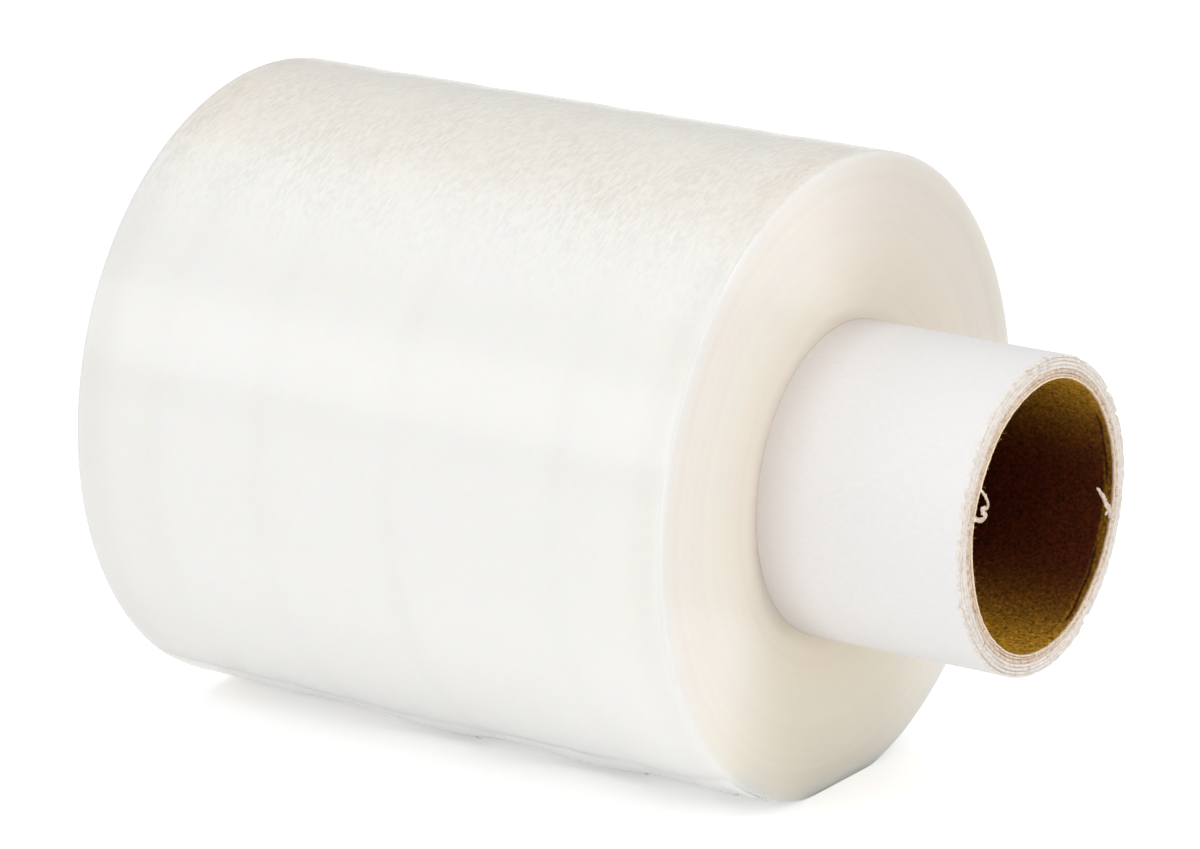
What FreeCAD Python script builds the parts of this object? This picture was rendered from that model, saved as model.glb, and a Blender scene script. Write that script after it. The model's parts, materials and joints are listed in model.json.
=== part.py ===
import FreeCAD, Part
import math
import os
from FreeCAD import Vector

# Stretch wrap roll lying on its side: clear film wound on a paper core that stands out at one end.
# Millimetres. +X runs along the core towards the end that stands out, +Z is up, and the origin is
# under the middle of the roll's length, on the surface it lies on.

# Film
film_width = 100.0
film_diameter = 92.3
edge_bevel = 1.5
flat_width = 19.2

# Core, from the bore outwards
bore_diameter = 38.5
kraft_wall = 1.3
paper_wall = 1.95
core_reach = 32.6
kraft_lip = 0.3

# Bands where thinner film has wound to a slightly smaller diameter, as shares of the film's width
band_depth = 0.25
band_run = 3.5
band_places = (0.135, 0.32, 0.545, 0.82)

# Turns that have shifted a little sideways and show as rings on both faces of the film
ring_width = 3.6
ring_step = 0.2

# Loose edge of the last turn, low on the front side: soft ruffles standing off the roll
ruffle_angle = 66.8
ruffle_curve = 30.0
ruffle_root = 0.6
long_ruffle_width = 24.0
long_ruffle_rise = 0.8
long_ruffle_places = (0.44, 0.7)
short_ruffle_width = 6.0
short_ruffle_rise = 0.45
short_ruffle_places = (0.915,)

# Torn outer edge of the core's rim; the smallest tear is smaller than the largest by this share
tear_count = 18
tear_width = 2.4
tear_depth = 0.7
tear_bite = 0.8
tear_spread = 0.9

# Worked out from the sizes above
film_radius = film_diameter / 2
edge_radius = film_radius - edge_bevel
bore_radius = bore_diameter / 2
kraft_radius = bore_radius + kraft_wall
core_radius = kraft_radius + paper_wall
core_length = film_width + core_reach
axis_height = math.sqrt(film_radius ** 2 - (flat_width / 2) ** 2)
back_end = -core_length / 2
core_end = core_length / 2
film_front = back_end + film_width
axis_direction = Vector(1, 0, 0)
tear_turn = 137.5


def spun(corners):
    """Closed outline through corners in the XZ plane, turned about the X axis."""
    face = Part.Face(Part.makePolygon(corners))
    return face.revolve(Vector(0, 0, 0), axis_direction, 360)


def lifted(shape):
    """The shape moved from the line Z = 0 up to the height of the core's axis."""
    shape.translate(Vector(0, 0, axis_height))
    return shape


def point(x, radius):
    """Place on a turned outline: x along the axis, radius out from it."""
    return Vector(x, 0, radius)


def outer_points():
    """Points along the outside of the film: straight crests with a shallow dip between them."""
    points = [point(back_end + edge_bevel, film_radius)]
    for place in band_places:
        middle = back_end + place * film_width
        points.append(point(middle - band_run, film_radius))
        points.append(point(middle, film_radius - band_depth))
        points.append(point(middle + band_run, film_radius))
    points.append(point(film_front - edge_bevel, film_radius))
    return points


def face_points(face_x, inward):
    """Points down one face of the film, from its bevelled edge to the axis, stepping ring by ring."""
    ring_count = max(1, round((edge_radius - core_radius) / ring_width))
    pitch = (edge_radius - core_radius) / ring_count
    points = [point(face_x, edge_radius)]
    for ring in range(1, ring_count):
        radius = edge_radius - ring * pitch
        shifted = ring_step if ring % 2 else 0.0
        points.append(point(points[-1].x, radius))
        points.append(point(face_x + inward * shifted, radius))
    points.append(point(points[-1].x, 0))
    return points


def ruffle(place, width, rise):
    """Low swelling where the last turn's edge stands off the roll, turned about its own axis."""
    middle = back_end + place * film_width
    low = ruffle_curve - rise - ruffle_root
    slope = width / 3
    corners = [
        point(middle - width / 2, 0),
        point(middle - width / 2, low),
        point(middle - width / 2 + slope, ruffle_curve),
        point(middle + width / 2 - slope, ruffle_curve),
        point(middle + width / 2, low),
        point(middle + width / 2, 0),
        point(middle - width / 2, 0),
    ]
    swelling = spun(corners)
    offset = film_radius + rise - ruffle_curve
    tilt = math.radians(ruffle_angle)
    swelling.translate(Vector(0, -offset * math.cos(tilt), -offset * math.sin(tilt)))
    return swelling


def ruffles():
    """Every swelling of the loose edge, from the hidden end to the front face."""
    swellings = [ruffle(place, long_ruffle_width, long_ruffle_rise) for place in long_ruffle_places]
    swellings += [ruffle(place, short_ruffle_width, short_ruffle_rise) for place in short_ruffle_places]
    return swellings


def core_space():
    """Cylinder that the core fills, all along the film."""
    return Part.makeCylinder(core_radius, core_length, point(back_end, 0), axis_direction)


def surface_below():
    """Block that fills everything under the surface the roll lies on."""
    size = 2 * (core_length + film_diameter)
    return Part.makeBox(size, size, size, Vector(-size / 2, -size / 2, -size))


def film_roll():
    """All the turns of film, with a hole that fits the core and a flat where the roll lies."""
    front = face_points(film_front, -1)
    back = face_points(back_end, 1)
    turns = spun(back[:1] + outer_points() + front + back[::-1])
    turns = turns.fuse(ruffles()).cut(core_space())
    return lifted(turns).cut(surface_below())


def core_tube():
    """Inner plies of the core: brown board around the bore, running its whole length."""
    corners = [
        point(back_end, bore_radius),
        point(core_end, bore_radius),
        point(core_end, kraft_radius),
        point(back_end, kraft_radius),
        point(back_end, bore_radius),
    ]
    return lifted(spun(corners))


def tear(index):
    """Wedge torn out of the rim's outer edge, turned to its place around the core."""
    share = 1 - tear_spread * (1 + math.sin(index * tear_turn)) / 2
    half = tear_width * share / 2
    inner = core_radius - tear_bite
    corners = [
        Vector(core_end, -half, inner),
        Vector(core_end, half, inner),
        Vector(core_end - kraft_lip - tear_depth * share, half / 2, inner),
        Vector(core_end, -half, inner),
    ]
    wedge = Part.Face(Part.makePolygon(corners)).extrude(Vector(0, 0, 2 * tear_bite))
    wedge.rotate(Vector(0, 0, 0), axis_direction, index * tear_turn)
    return wedge


def core_outer_paper():
    """Outer plies of the core: white paper over the brown tube, torn at the open rim."""
    rim = core_end - kraft_lip
    corners = [
        point(back_end, kraft_radius),
        point(rim, kraft_radius),
        point(rim, core_radius),
        point(back_end, core_radius),
        point(back_end, kraft_radius),
    ]
    plies = spun(corners).cut([tear(index) for index in range(tear_count)])
    return lifted(plies)


sub_parts = {
    "film_roll": film_roll,
    "core_tube": core_tube,
    "core_outer_paper": core_outer_paper,
}

os.makedirs("parts", exist_ok=True)
for name, build in sub_parts.items():
    build().exportStep("parts/" + name + ".step")
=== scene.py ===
import json
import math
import bmesh
import bpy
import numpy as np
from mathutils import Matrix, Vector


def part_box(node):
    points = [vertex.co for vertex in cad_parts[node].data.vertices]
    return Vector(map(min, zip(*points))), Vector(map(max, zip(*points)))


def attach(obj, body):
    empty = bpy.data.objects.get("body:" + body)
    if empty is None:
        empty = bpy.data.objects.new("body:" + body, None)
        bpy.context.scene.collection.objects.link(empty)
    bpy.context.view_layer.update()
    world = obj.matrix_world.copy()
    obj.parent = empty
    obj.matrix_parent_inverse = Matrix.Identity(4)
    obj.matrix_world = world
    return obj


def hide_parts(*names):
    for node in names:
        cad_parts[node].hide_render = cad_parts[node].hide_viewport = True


# Stretch wrap roll: clear film wound on a paper core that stands out at one end, lying on a pale table.

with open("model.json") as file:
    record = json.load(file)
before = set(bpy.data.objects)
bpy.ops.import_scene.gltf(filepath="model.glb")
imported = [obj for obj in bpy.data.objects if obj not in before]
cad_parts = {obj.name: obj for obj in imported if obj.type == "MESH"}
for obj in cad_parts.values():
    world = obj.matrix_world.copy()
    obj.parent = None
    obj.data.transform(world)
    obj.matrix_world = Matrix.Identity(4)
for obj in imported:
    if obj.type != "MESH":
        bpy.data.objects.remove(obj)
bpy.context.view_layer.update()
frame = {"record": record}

MM = 0.001

# Sizes of the roll, read from its solids and from its bore
film_low, film_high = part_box("film_roll")
tube_low, tube_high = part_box("core_tube")
paper_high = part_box("core_outer_paper")[1]
bore_mount = next(m for m in frame["record"]["mounts"] if m["name"] == "core_bore")
AXIS_HEIGHT = bore_mount["pos_m"][2]
FILM_BACK = film_low[0]
FILM_FRONT = film_high[0]
FILM_MIDDLE = (FILM_BACK + FILM_FRONT) / 2
FILM_WIDTH = FILM_FRONT - FILM_BACK
FILM_RADIUS = film_high[2] - AXIS_HEIGHT
CORE_RADIUS = paper_high[2] - AXIS_HEIGHT
KRAFT_RADIUS = tube_high[2] - AXIS_HEIGHT
BORE_RADIUS = bore_mount["dims"]["r_mm"] * MM
CORE_BACK = tube_low[0]
CORE_END = tube_high[0]

# Film: edges, dips where thinner film is wound, and waves left by the wrapping
EDGE_ROUND = 0.35 * MM
DIP_PLACES = (0.135, 0.32, 0.545, 0.82)
DIP_DEPTH = 0.12 * MM
DIP_WIDTH = 3.0 * MM
WAVE_HEIGHT = 0.15 * MM
WAVE_LENGTH = 14 * MM
CREASE_HEIGHT = 0.04 * MM
CREASE_LENGTH = 3 * MM
FILM_SEED = 4.0

# How far below the outside the dips and waves begin to fade and are gone, and how softly the flat begins
FADE_DEPTH = (0.2 * MM, 2.5 * MM)
FLAT_SOFTNESS = 0.3 * MM

# Rings on the film's faces. A single turn of film is too thin to show, so these are groups of turns.
RING_HEIGHT = 0.18 * MM
RING_WIDTH = 1.6 * MM
FINE_RING_WIDTH = 0.5 * MM
FINE_RING_SHARE = 0.14

# The inputs of the film's geometry tree, by name
FILM_SIZES = {
    "Axis height": AXIS_HEIGHT,
    "Outside radius": FILM_RADIUS,
    "Wave height": WAVE_HEIGHT,
    "Wave length": WAVE_LENGTH,
    "Crease height": CREASE_HEIGHT,
    "Crease length": CREASE_LENGTH,
    "Dip depth": DIP_DEPTH,
    "Dip width": DIP_WIDTH,
    "Ring height": RING_HEIGHT,
    "Ring width": RING_WIDTH,
    "Seed": FILM_SEED,
}

# Crinkles in the outside of the film: width along the roll and length round it, the size of the patches they
# come in, height and lean. Many real ones are too fine to show, so these are drawn as wide as they need to be.
STREAK_SIZE = (0.46 * MM, 1.7 * MM)
STREAK_PATCH = (8 * MM, 13 * MM)
STREAK_HIGH = 0.085 * MM
STREAK_LEAN = 0.16

# Lines round the film, left by drawing it tight, and drawn coarser than real for the same reason: their size,
# the size of their patches, and their height as a share of the crinkles'
DRAWN_SIZE = (0.5 * MM, 3.6 * MM)
DRAWN_PATCH = (11 * MM, 26 * MM)
DRAWN_HIGH = 0.5

# Film's faces: colours of the stacked edges from the core outwards, then tints of painted shade for the far
# side and warmer ones for the lowest part, each with its angle, and how far from the core the film lets less
# light in
FACE_TONES = (
    (0.0, "F6E9D8"), (0.04, "F5E9D8"), (0.2, "F7ECDE"), (0.5, "F9F0E5"), (0.8, "F6EFE7"), (0.93, "EFEBE5"),
    (1.0, "EEECE9"),
)
FACE_SHADE_SIDE = 138
FACE_SHADE_TINT = "E9E7E2"
LOW_SHADE_SIDE = -85
LOW_SHADE_TINT = "FFFCF1"
INNER_REACH = 8 * MM

# Film's outside: its colour at the sides and on top, and what darkens it close to both ends, on their rounded
# edges and towards the hidden end. Reaches are distances from the end where each starts and is complete.
SIDE_TONE = "F5F4F0"
# Painted light: the top is lighter and warmer, as the light falls there
LIT_TOP_TONE = "FAF4EA"
EDGE_TINT = "F6F6F6"
EDGE_REACH = (8 * MM, 0.5 * MM)
RIM_TINT = "FAFAFA"
RIM_REACH = (0.9 * MM, 0.25 * MM)
BACK_SHADE = 0.965
BACK_REACH = 22 * MM

# How far below the outside a face takes on the outside's colour: where it starts and is complete
SKIN_REACH = (0.35 * MM, 0.05 * MM)

# Gloss of the film, wound or single: soft below, with a clearer sheen on its surface
FILM_GLOSS = {"Roughness": 0.38, "IOR": 1.5, "Coat Weight": 0.6, "Coat Roughness": 0.14}

# Film pushed out under the loose edge, low on the front side: place along the film, width, rise, angle. Then
# how many degrees round the film each one spreads.
RUFFLES = (
    (0.43, 8.0 * MM, 0.5 * MM, -68),
    (0.70, 7.0 * MM, 0.5 * MM, -68),
    (0.915, 2.2 * MM, 0.2 * MM, -68),
    (0.27, 5.0 * MM, -0.3 * MM, -68),
    (0.02, 9.0 * MM, -0.45 * MM, -66),
)
RUFFLE_SPREAD = 9.0

# Loose edge itself: angles where it leaves the roll and where it ends, its thickness, how far its corners lie
# in from the film's ends, and its waves as height in degrees, length in millimetres and start. Then where it
# hangs out further: four places along the film, where that starts, is full, begins to end and ends, how many
# degrees lower it hangs and how far it stands off. Real film is far thinner than this strip, which has to
# show.
LOOSE_FROM = -50.0
LOOSE_TO = -66.5
LOOSE_THICK = 0.12 * MM
LOOSE_INSET = 0.8 * MM
LOOSE_WAVES = ((0.5, 37, 0.0), (0.35, 13, 1.0), (0.15, 5.3, 0.0))
LOOSE_FLAPS = (
    (29 * MM, 41 * MM, 48.8 * MM, 50.1 * MM, 4.5, 0.3 * MM),
    (54 * MM, 67 * MM, 78.0 * MM, 79.4 * MM, 4.0, 0.25 * MM),
    (88.9 * MM, 90.1 * MM, 93.1 * MM, 94.3 * MM, 4.0, 0.2 * MM),
)

# Core plies from the bore outwards: thickness, how far each stops short of the rim, how ragged its end
# is, and how far the end stands off its neighbours
KRAFT_PLIES = (
    (0.28 * MM, 0.0, 0.10 * MM, 0.03 * MM),
    (0.42 * MM, 0.16 * MM, 0.12 * MM, 0.02 * MM),
    (0.60 * MM, 0.20 * MM, 0.14 * MM, 0.0),
)
PAPER_PLIES = (
    (0.50 * MM, 0.18 * MM, 0.10 * MM, 0.02 * MM),
    (0.55 * MM, 0.20 * MM, 0.12 * MM, 0.03 * MM),
    (0.50 * MM, 0.25 * MM, 0.15 * MM, 0.03 * MM),
    (0.40 * MM, 0.38 * MM, 0.22 * MM, 0.06 * MM),
)
PLY_GAP = 0.01 * MM
CORE_STEPS = 720
KRAFT_SEED = 11
PAPER_SEED = 31

# Cracks in the rim: angle, width, depth, first and last white ply
CRACKS = (
    (91, 0.5 * MM, 0.9 * MM, 1, 3),
    (85, 0.4 * MM, 0.8 * MM, 0, 2),
    (78, 0.9 * MM, 0.5 * MM, 2, 3),
    (117, 1.4 * MM, 0.7 * MM, 2, 3),
    (142, 1.2 * MM, 0.6 * MM, 1, 3),
    (154, 0.8 * MM, 0.6 * MM, 2, 3),
    (-19, 0.8 * MM, 0.5 * MM, 3, 3),
    (-43, 0.4 * MM, 0.8 * MM, 0, 2),
    (-52, 0.4 * MM, 0.7 * MM, 0, 1),
    (-81, 0.5 * MM, 0.7 * MM, 1, 3),
    (-125, 1.2 * MM, 0.5 * MM, 2, 3),
)

# Crease pressed into the bore's wall: depth, half of its width, how far behind the rim it runs and how far it
# drifts there, and its stretches as first angle, last angle and softness in degrees
CREASE_DEEP = 0.16 * MM
CREASE_WIDE = 0.45 * MM
CREASE_BACK = 1.4 * MM
CREASE_DRIFT = 0.35 * MM
CREASE_SPANS = ((146, 180, 6), (206, 246, 8))

# Painted shade on one side of the bore's wall, where little light reaches: the side, and how far behind the
# rim it ends. Then its tint, and the darkest and lightest brown of the wall.
BORE_SHADE_ANGLE = -163.0
BORE_SHADE_END = 1.5 * MM
BORE_SHADE_TINT = "66392A"
KRAFT_DARK = "B3831F"
KRAFT_LIGHT = "ECB234"

# White paper: how far out of the film it is painted greyer as shade, and with what
FILM_SHADE_REACH = 9 * MM
FILM_SHADE_TINT = "EDE8E5"

# Loose fibres round the rim, and the rings that they stand on, each as (x, radius), drawn with so many steps
FIBRE_COUNT = 420
FIBRE_LENGTH = 0.55 * MM
FIBRE_RADIUS = 0.022 * MM
FIBRE_SEED = 7
FIBRE_STEPS = 240
BORE_FUZZ = (CORE_END - 0.1 * MM, BORE_RADIUS + 0.12 * MM)
MIDDLE_FUZZ = (CORE_END - 0.25 * MM, KRAFT_RADIUS + 0.7 * MM)
OUTER_FUZZ = (CORE_END - 1.0 * MM, CORE_RADIUS - 0.15 * MM)

# Torn shreds of kraft at the bore's edge: how far past the rim, distance from the axis, angle, width. Then
# how thick they are, how rough their edges are as a share of the width, and how far their middle curls up.
LEFT_SHRED = (
    (-0.3, 19.5, 26.0, 0.35), (0.1, 18.9, 24.8, 0.4), (0.4, 18.2, 23.0, 0.45), (0.5, 17.6, 20.8, 0.4),
    (0.5, 17.7, 19.0, 0.5), (0.3, 18.6, 18.0, 0.6), (0.4, 18.3, 16.6, 0.7), (0.5, 17.6, 15.8, 0.6),
    (0.4, 17.9, 14.0, 0.6), (0.1, 18.7, 13.4, 0.6), (-0.3, 19.4, 13.8, 0.5),
)
RIGHT_SHRED = (
    (-0.5, 19.9, -164.6, 1.3), (0.0, 19.2, -165.6, 1.25), (0.3, 18.1, -167.4, 1.2), (0.5, 17.1, -169.2, 1.0),
    (0.5, 16.3, -171.6, 0.9), (0.4, 15.8, -174.0, 0.85), (0.3, 15.2, -177.2, 0.7), (0.2, 14.5, -180.2, 0.45),
    (0.1, 13.9, -182.6, 0.12),
)
STUB_SHRED = ((0.3, 17.0, -168.4, 0.6), (0.5, 16.4, -167.6, 0.5), (0.6, 15.9, -167.4, 0.25))
SHRED_THICK = 0.16 * MM
SHRED_ROUGH = 0.28
SHRED_CURL = 0.12 * MM

# Mottling of board and paper, along the core and around it. A single fibre is too thin to show, so these are
# clumps of fibres.
KRAFT_CLUMP = (0.9 * MM, 0.6 * MM)
KRAFT_GRAIN = (0.45 * MM, 0.45 * MM)
PAPER_CLUMP = (0.8 * MM, 0.5 * MM)
TORN_GRAIN = (0.7 * MM, 0.7 * MM)

# Burr at the bore's edge: how far outside the bore its middle lies
BURR_PLACE = 0.12 * MM

# Table, lamps and camera. Each lamp: direction from the roll, distance, width and height in metres, watts.
FLOOR_LIFT = 0.42
TABLE_HALF = 6.0
TABLE_GAP = 0.05 * MM
LAMPS = {
    "key softbox": ((-0.537, -0.770, 0.345), 1.3, 0.9, 0.5, 1.7),
    "top softbox": ((-0.537, -0.124, 0.834), 1.2, 0.8, 0.4, 0.8),
    "front softbox": ((0.12, -0.99, 0.05), 1.5, 0.7, 0.7, 7.0),
    "end softbox": ((0.66, 0.0, 0.75), 1.4, 0.6, 0.6, 5.5),
    "low softbox": ((0.9, -0.2, 0.12), 1.5, 0.7, 0.3, 1.2),
}
ROOM_LIGHT = 0.605
DARK_SIDE = (0.6, -0.8, 0.0)
CAMERA_PLACE = Vector((476.4, -714.2, 304.4)) * MM
CAMERA_LOOKS_AT = Vector((-7.4, 0.0, 46.0)) * MM
CAMERA_LENS = 188.5


def linear(hex_colour):
    """sRGB hex colour as linear RGBA."""
    parts = [int(hex_colour[i:i + 2], 16) / 255 for i in (0, 2, 4)]
    return tuple(p / 12.92 if p <= 0.04045 else ((p + 0.055) / 1.055) ** 2.4 for p in parts) + (1.0,)


def add(tree, kind, inputs=(), stops=(), **settings):
    """Adds one node with its settings and links. An input takes a value, a socket, or a node, which stands
    for its first output in use; stops are a colour ramp's places and hex colours."""
    made = tree.nodes.new(kind)
    for name, value in settings.items():
        setattr(made, name, value)
    for socket, value in dict(inputs).items():
        if isinstance(value, bpy.types.Node):
            value = next(output for output in value.outputs if output.enabled)
        if isinstance(value, bpy.types.NodeSocket):
            tree.links.new(value, made.inputs[socket])
        else:
            made.inputs[socket].default_value = value
    if stops:
        elements = made.color_ramp.elements
        while len(elements) < len(stops):
            elements.new(1.0)
        for element, (place, colour) in zip(elements, stops):
            element.position = place
            element.color = linear(colour)
    return made


# Settings that many nodes share: a blend of colours, a tint that multiplies, and a soft start and end
BLEND = {"data_type": "RGBA"}
TINT = {"data_type": "RGBA", "blend_type": "MULTIPLY"}
SOFT = {"interpolation_type": "SMOOTHSTEP"}


def blank_material(name):
    """New material with an empty node tree."""
    material = bpy.data.materials.new(name)
    material.use_nodes = True
    material.node_tree.nodes.clear()
    return material, material.node_tree


def axis_places(tree, coordinates):
    """Distance from the roll's axis, x along it, and direction out from it at the shaded point."""
    centred = add(tree, "ShaderNodeVectorMath", {0: coordinates, 1: (0, 0, -AXIS_HEIGHT)}, operation="ADD")
    across = add(tree, "ShaderNodeVectorMath", {0: centred, 1: (0, 1, 1)}, operation="MULTIPLY")
    radius = add(tree, "ShaderNodeVectorMath", {0: across}, operation="LENGTH")
    outward = add(tree, "ShaderNodeVectorMath", {0: across}, operation="NORMALIZE")
    along = add(tree, "ShaderNodeSeparateXYZ", {0: coordinates}).outputs["X"]
    return radius, along, outward


def on_side(tree, outward, degrees, low, high):
    """1 on one side of the roll, softly down to 0 further round it: 0 degrees is the camera's side, 90 is up,
    and the share is complete or gone where the cosine of the angle between them is high or low."""
    turn = math.radians(degrees)
    side = (0, -math.cos(turn), math.sin(turn))
    facing = add(tree, "ShaderNodeVectorMath", {0: outward, 1: side}, operation="DOT_PRODUCT")
    return add(tree, "ShaderNodeMapRange", {0: facing, 1: low, 2: high, 3: 0.0, 4: 1.0}, **SOFT)


def mottle(tree, coordinates, size, detail, roughness=0.5, distortion=0.0):
    """Uneven pattern, mostly from 0.3 to 0.7, of a real size along the roll and around it."""
    along, around = size
    scale = (1 / along, 1 / around, 1 / around)
    scaled = add(tree, "ShaderNodeVectorMath", {0: coordinates, 1: scale}, operation="MULTIPLY")
    pattern = {"Vector": scaled, "Scale": 1.0, "Detail": detail, "Roughness": roughness}
    return add(tree, "ShaderNodeTexNoise", {**pattern, "Distortion": distortion})


def film_streaks(tree, coordinates):
    """Short leaning crinkles round the film, and how strong they are: patchy, and nearly all on the upper
    side, where their greying of the film's colour also stands for painted dark reflection."""
    parts = add(tree, "ShaderNodeSeparateXYZ", {0: coordinates}).outputs
    rise = add(tree, "ShaderNodeMath", {0: parts["Z"], 1: parts["Y"]}, operation="SUBTRACT")
    lean = add(tree, "ShaderNodeMath", {0: rise, 1: STREAK_LEAN, 2: parts["X"]}, operation="MULTIPLY_ADD")
    leaning = add(tree, "ShaderNodeCombineXYZ", {"X": lean, "Y": parts["Y"], "Z": parts["Z"]})
    streaks = mottle(tree, leaning, STREAK_SIZE, 1.0, 0.45, 0.9)
    patches = mottle(tree, coordinates, STREAK_PATCH, 2.0)
    low = AXIS_HEIGHT + 0.55 * FILM_RADIUS
    high = AXIS_HEIGHT + 0.97 * FILM_RADIUS
    upper = add(tree, "ShaderNodeMapRange", {0: parts["Z"], 1: low, 2: high, 3: 0.08, 4: 1.0}, **SOFT)
    return streaks, add(tree, "ShaderNodeMath", {0: patches, 1: upper}, operation="MULTIPLY")


def film_material():
    """Linear low-density polyethylene film, blown, stretched and wound: milky from its many thin turns,
    softly glossy, crinkled on top; its stacked cut edges look cream, deeper by the core."""
    material, tree = blank_material("polyethylene film, blown and wound")
    coordinates = add(tree, "ShaderNodeTexCoord").outputs["Object"]
    radius, along, outward = axis_places(tree, coordinates)

    # Stacked edges on the faces: cream, deeper towards the core, with painted shade on the side away from the
    # camera and warm painted shade on the lowest part, and faint rings where groups of turns lie a little in
    # or out
    share = add(tree, "ShaderNodeMapRange", {0: radius, 1: CORE_RADIUS, 2: FILM_RADIUS})
    face = add(tree, "ShaderNodeValToRGB", {0: share}, FACE_TONES)
    groups = {"W": radius, "Scale": 1 / RING_WIDTH, "Detail": 4.0}
    rings = add(tree, "ShaderNodeTexNoise", groups, noise_dimensions="1D")
    rings = add(tree, "ShaderNodeMapRange", {0: rings, 1: 0.3, 2: 0.7, 3: 0.985, 4: 1.005})
    face = add(tree, "ShaderNodeMix", {0: 1.0, 6: face, 7: rings}, **TINT)
    painted_face_shade = on_side(tree, outward, FACE_SHADE_SIDE, 0.4, 1.0)
    face = add(tree, "ShaderNodeMix", {0: painted_face_shade, 6: face, 7: linear(FACE_SHADE_TINT)}, **TINT)
    warm_low_shade = on_side(tree, outward, LOW_SHADE_SIDE, 0.6, 1.0)
    face = add(tree, "ShaderNodeMix", {0: warm_low_shade, 6: face, 7: linear(LOW_SHADE_TINT)}, **TINT)

    # Outside: painted lighter and warmer on top, where the light falls; greyed by crinkles where the film
    # clings less, and on top that greying is also painted dark reflection
    streaks, strength = film_streaks(tree, coordinates)
    depth = add(tree, "ShaderNodeMapRange", {0: strength, 1: 0.03, 2: 0.6, 3: 1.0, 4: 0.88})
    creased_and_shaded = add(tree, "ShaderNodeMapRange", {0: streaks, 1: 0.36, 2: 0.6, 3: depth, 4: 1.0})
    painted_top_light = on_side(tree, outward, 90, 0.75, 1.0)
    side = add(tree, "ShaderNodeMix", {0: painted_top_light, 6: linear(SIDE_TONE), 7: linear(LIT_TOP_TONE)}, **BLEND)
    side = add(tree, "ShaderNodeMix", {0: 1.0, 6: side, 7: creased_and_shaded}, **TINT)

    # Light that spreads in the film brightens it towards its ends more than the real one, so it darkens there
    fade = {0: along, 1: FILM_BACK, 2: FILM_BACK + BACK_REACH, 3: BACK_SHADE, 4: 1.0}
    back = add(tree, "ShaderNodeMapRange", fade, **SOFT)
    side = add(tree, "ShaderNodeMix", {0: 1.0, 6: side, 7: back}, **TINT)
    off_middle = add(tree, "ShaderNodeMath", {0: along, 1: FILM_MIDDLE}, operation="SUBTRACT")
    off_middle = add(tree, "ShaderNodeMath", {0: off_middle}, operation="ABSOLUTE")
    for (start, complete), colour in ((EDGE_REACH, EDGE_TINT), (RIM_REACH, RIM_TINT)):
        fade = {0: off_middle, 1: FILM_WIDTH / 2 - start, 2: FILM_WIDTH / 2 - complete, 3: 0.0, 4: 1.0}
        by_edge = add(tree, "ShaderNodeMapRange", fade, **SOFT)
        side = add(tree, "ShaderNodeMix", {0: by_edge, 6: side, 7: linear(colour)}, **TINT)

    # The outermost turns look like the outside
    start, complete = SKIN_REACH
    fade = {0: radius, 1: FILM_RADIUS - start, 2: FILM_RADIUS - complete, 3: 0.0, 4: 1.0}
    outermost = add(tree, "ShaderNodeMapRange", fade, **SOFT)
    colour = add(tree, "ShaderNodeMix", {0: outermost, 6: face, 7: side}, **BLEND)

    # Relief: crinkles and drawn lines on the outside, none on the rounded edges, and fine rings on the faces
    turns = {"W": radius, "Scale": 1 / FINE_RING_WIDTH, "Detail": 2.0}
    turns = add(tree, "ShaderNodeTexNoise", turns, noise_dimensions="1D")
    turns = add(tree, "ShaderNodeMath", {0: turns, 1: FINE_RING_SHARE}, operation="MULTIPLY")
    lines = mottle(tree, coordinates, DRAWN_SIZE, 2.0, 0.6)
    tight = mottle(tree, coordinates, DRAWN_PATCH, 2.0)
    tight = add(tree, "ShaderNodeMapRange", {0: tight, 1: 0.4, 2: 0.62, 3: 0.06, 4: DRAWN_HIGH}, **SOFT)
    lines = add(tree, "ShaderNodeMath", {0: lines, 1: tight}, operation="MULTIPLY")
    relief = add(tree, "ShaderNodeMath", {0: streaks, 1: strength, 2: lines}, operation="MULTIPLY_ADD")
    plain = add(tree, "ShaderNodeMath", {0: 1.0, 1: by_edge}, operation="SUBTRACT")
    relief = add(tree, "ShaderNodeMath", {0: relief, 1: plain}, operation="MULTIPLY")
    height = add(tree, "ShaderNodeMix", {0: outermost, 2: turns, 3: relief}, data_type="FLOAT")
    bumps = add(tree, "ShaderNodeBump", {"Strength": 1.0, "Distance": STREAK_HIGH, "Height": height})

    # Less light gets into the film beside the core
    inner = {0: radius, 1: CORE_RADIUS, 2: CORE_RADIUS + INNER_REACH, 3: 0.25, 4: 1.0}
    milky = add(tree, "ShaderNodeMapRange", inner)
    shader = add(
        tree, "ShaderNodeBsdfPrincipled",
        {
            **FILM_GLOSS, "Base Color": colour, "Normal": bumps, "Coat Normal": bumps,
            "Subsurface Weight": milky, "Subsurface Radius": (1.0, 0.88, 0.72), "Subsurface Scale": 5 * MM,
        },
    )
    add(tree, "ShaderNodeOutputMaterial", {"Surface": shader})
    return material


def loose_film_material():
    """The same film as a single turn, near white because it is drawn over the milky roll, with the same soft
    gloss and crinkles."""
    material, tree = blank_material("polyethylene film, single turn")
    coordinates = add(tree, "ShaderNodeTexCoord").outputs["Object"]
    streaks, strength = film_streaks(tree, coordinates)
    colour = add(tree, "ShaderNodeValToRGB", {0: streaks}, ((0.3, "F3F2EE"), (0.65, "F8F7F4")))
    height = add(tree, "ShaderNodeMath", {0: streaks, 1: strength}, operation="MULTIPLY")
    bumps = add(tree, "ShaderNodeBump", {"Strength": 1.0, "Distance": STREAK_HIGH, "Height": height})
    finish = {**FILM_GLOSS, "Base Color": colour, "Normal": bumps, "Coat Normal": bumps}
    shader = add(tree, "ShaderNodeBsdfPrincipled", finish)
    add(tree, "ShaderNodeOutputMaterial", {"Surface": shader})
    return material


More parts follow.
